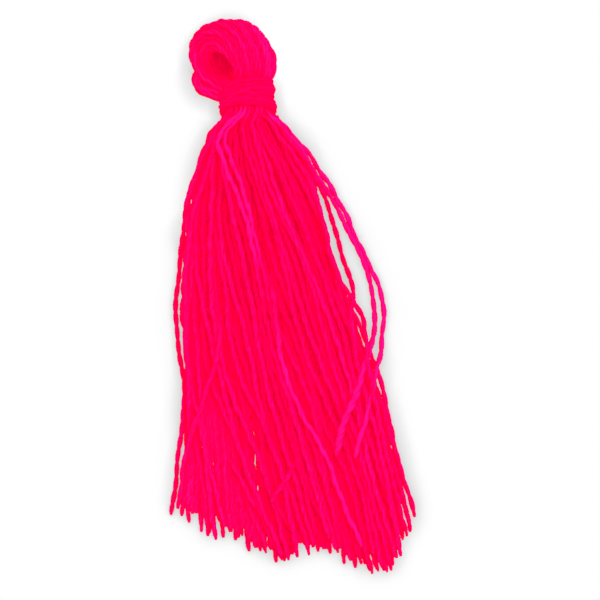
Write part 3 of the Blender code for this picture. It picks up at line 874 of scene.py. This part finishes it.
def yarn_mesh(name, rings, lies, shades):
    """One mesh of closed tubes through the rings, with each point's lie and its yarn's shade."""
    tubes, steps, sides = rings.shape[:3]
    points = rings.reshape(-1, 3).copy()
    points[:, 2] = np.maximum(points[:, 2], TABLE_TOUCH)
    tube = np.arange(tubes)[:, None, None] * steps * sides
    ring = np.arange(steps - 1)[None, :, None] * sides
    here = np.arange(sides)[None, None, :]
    after = (here + 1) % sides
    base = tube + ring
    corners = np.broadcast_arrays(base + here, base + after, base + sides + after, base + sides + here)
    quads = np.stack(corners, axis=-1).reshape(-1, 4)
    first = tube[:, 0] + np.arange(sides)[::-1]
    last = tube[:, 0] + (steps - 1) * sides + np.arange(sides)
    mesh = bpy.data.meshes.new(name)
    mesh.from_pydata(placed(points).tolist(), [], quads.tolist() + first.tolist() + last.tolist())
    mesh.shade_smooth()
    lie = mesh.attributes.new("lie", "FLOAT_VECTOR", "POINT")
    lie.data.foreach_set("vector", lies.reshape(-1).astype(np.float32))
    shade = mesh.attributes.new("shade", "FLOAT", "POINT")
    shade.data.foreach_set("value", np.repeat(shades.reshape(-1), sides).astype(np.float32))
    piece = bpy.data.objects.new(name, mesh)
    bpy.context.scene.collection.objects.link(piece)
    return piece


def cut_radii(paths, radius):
    """Each skirt yarn's radius along its path: thinner in the neck, and drawn to a point at its cut end."""
    thin = ROOT_THIN + (1.0 - ROOT_THIN) * eased((paths[..., 0] - THIN_FROM) / THIN_OVER)
    travelled = travel(paths)
    left = (travelled[:, -1:] - travelled) / TIP_LENGTH
    return radius * thin * (TIP_RADIUS + (1.0 - TIP_RADIUS) * np.sqrt(np.clip(left, 0.0, 1.0)))


def skirt_shades(yarns):
    """How light each of the skirt's yarns is at each point, those at the bottom included, with painted
    highlights.
    """
    starts, _, _ = skirt_fractions()
    under = (np.arange(UNDER_YARNS) + 0.5) / UNDER_YARNS
    starts = np.concatenate([starts, np.zeros(len(STRAY_YARNS)), under])
    bunched = np.interp(starts, *np.array(BUNCHES).T)
    own = draws("skirt shades").uniform(0.0, 1.0, len(yarns)) ** 2
    shades = BUNCH_WEIGHT * bunched + (1.0 - BUNCH_WEIGHT) * own
    shades = np.repeat(shades[:, None], yarns.shape[1], axis=1)
    for k, name in enumerate(STRAY_YARNS, STRANDS):
        shades[k] = STRAY_SHADE
        # Painted highlight: some straying yarns are made lighter over a stretch, where they lie on top in the
        # light
        if name in PAINTED_HIGHLIGHT_YARNS:
            first, last = PAINTED_HIGHLIGHT_YARNS[name]
            down = yarns[k, :, 0]
            lit = eased((down - first) / PAINTED_HIGHLIGHT_FADE + 1.0) * eased((last - down) / PAINTED_HIGHLIGHT_FADE + 1.0)
            shades[k] += (PAINTED_HIGHLIGHT_SHADE - STRAY_SHADE) * lit
    return shades


def crown_shades(yarns, draw):
    """How light the crown's yarns are: each has its own shade, and a deep painted shade inside the eye."""
    own = draw.uniform(0.0, 1.0, (len(yarns), 1))
    # Painted shade: the yarns deep down inside the eye's hollow are made deeper, as if little light reached
    # them
    away = np.hypot(yarns[..., 0] - EYE_DOWN, yarns[..., 1] - EYE_ACROSS)
    inside = eased((EYE_REACH - away) / EYE_FADE) * eased((EYE_TOP - yarns[..., 2]) / EYE_FADE)
    return own - EYE_PAINTED_SHADE * inside


def finish_piece(piece, material, node):
    """Gives a piece its material, hangs it from the root, and hides the solid that it stands for."""
    piece.data.materials.append(material)
    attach(piece, "root")
    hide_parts(node)


def make_yarns(name, paths, radii, draw, material, node, shades=None, ply_share=PLY_SHARE):
    """One piece of two-ply yarns along the paths. Without given shades each yarn gets one at random."""
    rings, lies = ply_rings(paths, radii, ply_share, draw)
    if shades is None:
        shades = np.repeat(draw.uniform(0.0, 1.0, (len(paths), 1)), paths.shape[1], axis=1)
    finish_piece(yarn_mesh(name, rings, lies, np.tile(shades, (2, 1))), material, node)


def make_fibres(groups, material):
    """Short curled fibres that stand off the yarns. A group of paths given twice gets twice as many."""
    draw = draws("fibres")
    points = np.concatenate([paths.reshape(-1, 3) for paths in groups])
    roots = points[draw.integers(0, len(points), FIBRES)]
    outward = draw.normal(0.0, 1.0, (FIBRES, 3))
    outward[:, 2] = np.abs(outward[:, 2])
    outward /= np.linalg.norm(outward, axis=1, keepdims=True)
    curl = draw.normal(0.0, FIBRE_CURL, (FIBRES, 3))
    length = draw.uniform(*FIBRE_LENGTH, (FIBRES, 1))
    share = np.linspace(0.0, 1.0, FIBRE_STEPS)[None, :, None]
    ahead = outward[:, None] * share + curl[:, None] * share**2
    starts = roots + YARN_RADIUS * FIBRE_START * outward
    paths = starts[:, None] + length[:, None] * ahead
    side, other = frames(paths)
    around = np.linspace(0.0, math.tau, FIBRE_SIDES, endpoint=False)
    thin = FIBRE_RADIUS * (1.0 - FIBRE_THINNING * share)[..., None]
    rings = paths[:, :, None] + thin * turned(around, side[:, :, None], other[:, :, None])
    shades = np.full((FIBRES, FIBRE_STEPS), STRAY_SHADE)
    piece = yarn_mesh("loose_fibres", rings, np.zeros(rings.shape), shades)
    finish_piece(piece, material, "skirt")


def set_inputs(node, values):
    """Sets a node's inputs by name."""
    for name, value in values.items():
        node.inputs[name].default_value = value


def attribute_node(nodes, name):
    """A node that reads one of the mesh's attributes."""
    node = nodes.new("ShaderNodeAttribute")
    node.attribute_name = name
    return node


def toned_ramp(nodes, tones):
    """A colour ramp through the tones, each one a place from 0 to 1 and a colour."""
    ramp = nodes.new("ShaderNodeValToRGB")
    for place, _ in tones[2:]:
        ramp.color_ramp.elements.new(place)
    for element, (place, colour) in zip(ramp.color_ramp.elements, tones):
        element.position = place
        element.color = (*colour, 1.0)
    return ramp


def weighted_sum(nodes, links, start, parts):
    """A starting value plus each part's output times its weight."""
    value = nodes.new("ShaderNodeValue")
    value.outputs["Value"].default_value = start
    total = value.outputs["Value"]
    for output, weight in parts:
        added = nodes.new("ShaderNodeMath")
        added.operation = "MULTIPLY_ADD"
        added.inputs[1].default_value = weight
        links.new(output, added.inputs[0])
        links.new(total, added.inputs[2])
        total = added.outputs["Value"]
    return total


def streak_node(nodes, links):
    """The streaks of the fibres, drawn out along each ply."""
    lie = attribute_node(nodes, "lie")
    stretch = nodes.new("ShaderNodeVectorMath")
    stretch.operation = "MULTIPLY"
    stretch.inputs[1].default_value = STREAK_STRETCH
    links.new(lie.outputs["Vector"], stretch.inputs[0])
    streak = nodes.new("ShaderNodeTexNoise")
    set_inputs(streak, STREAKS)
    links.new(stretch.outputs["Vector"], streak.inputs["Vector"])
    return streak


def yarn_material(name, tones):
    """Neon-dyed twisted yarn: streaks along each ply, a shade per yarn, painted hollow shade, a soft bump, a
    painted glow.
    """
    material = bpy.data.materials.new(name)
    material.use_nodes = True
    nodes = material.node_tree.nodes
    links = material.node_tree.links
    shader = nodes["Principled BSDF"]
    # The finish holds a painted glow: its emission lights the yarn the same in light and in shade
    set_inputs(shader, YARN_FINISH_AND_PAINTED_GLOW)

    streak = streak_node(nodes, links)
    shade = attribute_node(nodes, "shade")
    # Painted shade: the tone is made deeper where the yarn is hemmed in, as if less light reached it there
    painted_shade = nodes.new("ShaderNodeAmbientOcclusion")
    painted_shade.samples = HOLLOW_SAMPLES
    set_inputs(painted_shade, {"Distance": HOLLOW_REACH * MM})
    parts = (
        (streak.outputs["Fac"], STREAK_SHADE),
        (shade.outputs["Fac"], YARN_SHADE),
        (painted_shade.outputs["AO"], PAINTED_HOLLOW_SHADE),
    )
    ramp = toned_ramp(nodes, tones)
    links.new(weighted_sum(nodes, links, TONE_SHIFT, parts), ramp.inputs["Fac"])
    links.new(ramp.outputs["Color"], shader.inputs["Base Color"])

    bump = nodes.new("ShaderNodeBump")
    set_inputs(bump, {"Strength": BUMP_STRENGTH, "Distance": BUMP_HEIGHT * MM})
    links.new(streak.outputs["Fac"], bump.inputs["Height"])
    links.new(bump.outputs["Normal"], shader.inputs["Normal"])
    return material


def floor_material():
    """A white surface with a soft neutral shadow painted into its glow where the tassel hides it from the
    light.
    """
    material = bpy.data.materials.new("white surface")
    material.use_nodes = True
    nodes = material.node_tree.nodes
    links = material.node_tree.links
    nodes.clear()
    output = nodes.new("ShaderNodeOutputMaterial")
    glow = nodes.new("ShaderNodeEmission")
    set_inputs(glow, {"Strength": 1.0})
    # Painted shadow: the floor's glow turns grey where the tassel is near, from an occlusion node, not from
    # the lamp
    shadow = nodes.new("ShaderNodeAmbientOcclusion")
    shadow.samples = SHADOW_SAMPLES
    set_inputs(shadow, {"Distance": SHADOW_REACH * MM, "Normal": SHADOW_FROM})
    ramp = toned_ramp(nodes, [(place, (grey, grey, grey)) for place, grey in SHADOW_STEPS])
    links.new(shadow.outputs["AO"], ramp.inputs["Fac"])
    links.new(ramp.outputs["Color"], glow.inputs["Color"])
    links.new(glow.outputs["Emission"], output.inputs["Surface"])
    return material


def make_floor():
    """The white surface that the tassel lies on, which is no part of it."""
    bpy.ops.mesh.primitive_plane_add(size=FLOOR_SIZE, location=(0.0, 0.0, 0.0))
    floor = bpy.context.active_object
    floor.name = "floor"
    floor.data.materials.append(floor_material())


def make_camera():
    """The photograph's view, from so high up that the perspective is slight."""
    data = bpy.data.cameras.new("camera")
    data.sensor_width = SENSOR
    data.lens = SENSOR * CAMERA_HEIGHT / VIEW_WIDTH
    data.clip_start = CLIP_START
    data.clip_end = CLIP_END
    camera = bpy.data.objects.new("camera", data)
    place = (NECK_ACROSS + VIEW_ACROSS, NECK_ALONG - VIEW_DOWN, CAMERA_HEIGHT)
    camera.matrix_world = Matrix.Translation(MM * Vector(place)) @ Matrix.Rotation(VIEW_ROLL, 4, "Z")
    bpy.context.scene.collection.objects.link(camera)
    bpy.context.scene.camera = camera


def make_light():
    """Even white light from all sides, and a soft lamp above."""
    world = bpy.data.worlds.new("soft studio")
    world.use_nodes = True
    background = world.node_tree.nodes["Background"]
    set_inputs(background, {"Color": (1.0, 1.0, 1.0, 1.0), "Strength": WORLD_STRENGTH})
    bpy.context.scene.world = world
    data = bpy.data.lights.new("overhead", "AREA")
    data.shape = "SQUARE"
    data.size = LAMP_SIZE
    data.energy = LAMP_POWER
    lamp = bpy.data.objects.new("overhead", data)
    lamp.location = LAMP_PLACE
    lamp.rotation_euler = (-Vector(LAMP_PLACE)).to_track_quat("-Z", "Y").to_euler()
    bpy.context.scene.collection.objects.link(lamp)
    bpy.context.scene.view_settings.view_transform = "Standard"


def make_skirt(material):
    """The skirt's yarns, shared out among the pieces. Gives back the paths of those that are in view."""
    skirt = skirt_paths()
    yarns = np.concatenate([skirt, under_paths(skirt.shape[1])])
    radii = cut_radii(yarns, YARN_RADIUS)
    radii[len(skirt) :] *= UNDER_THICK
    thick = STRANDS + list(STRAY_YARNS).index(THICK_YARN)
    radii[thick] *= 1.0 + THICK_MORE * eased((yarns[thick, :, 0] - THICK_FROM) / THICK_OVER)
    shades = skirt_shades(yarns)
    for number in range(SKIRT_PIECES):
        group = slice(number, None, SKIRT_PIECES)
        name = f"skirt_yarns_{number + 1}"
        draw = draws("skirt plies", number)
        make_yarns(name, yarns[group], radii[group], draw, material, "skirt", shades[group])
    return skirt


def make_crown(material):
    """The yarns of the looped head, and the slack ones at its left. Gives back their paths."""
    crown, slack = crown_paths(), slack_paths()
    for name, paths in (("crown", crown), ("slack", slack)):
        radii = np.full(paths.shape[:2], CROWN_YARN)
        shades = crown_shades(paths, draws(f"{name} shades"))
        draw = draws(f"{name} plies")
        make_yarns(f"{name}_yarns", paths, radii, draw, material, "crown", shades, CROWN_PLY_SHARE)
    return crown, slack


def make_binding(material):
    """The turns of yarn wound round the neck."""
    paths = binding_paths()
    radii = np.full(paths.shape[:2], BINDING_YARN)
    draw = draws("binding plies")
    make_yarns("binding_turns", paths, radii, draw, material, "neck_binding")


def main():
    """Dresses the solids and sets up the view."""
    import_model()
    pink = yarn_material("neon pink yarn", YARN_TONES)
    wound = yarn_material("neon pink wound yarn", WOUND_TONES)

    skirt = make_skirt(pink)
    crown, slack = make_crown(pink)
    make_binding(wound)
    make_fibres((skirt, crown, crown, slack), pink)

    make_floor()
    make_light()
    make_camera()


main()
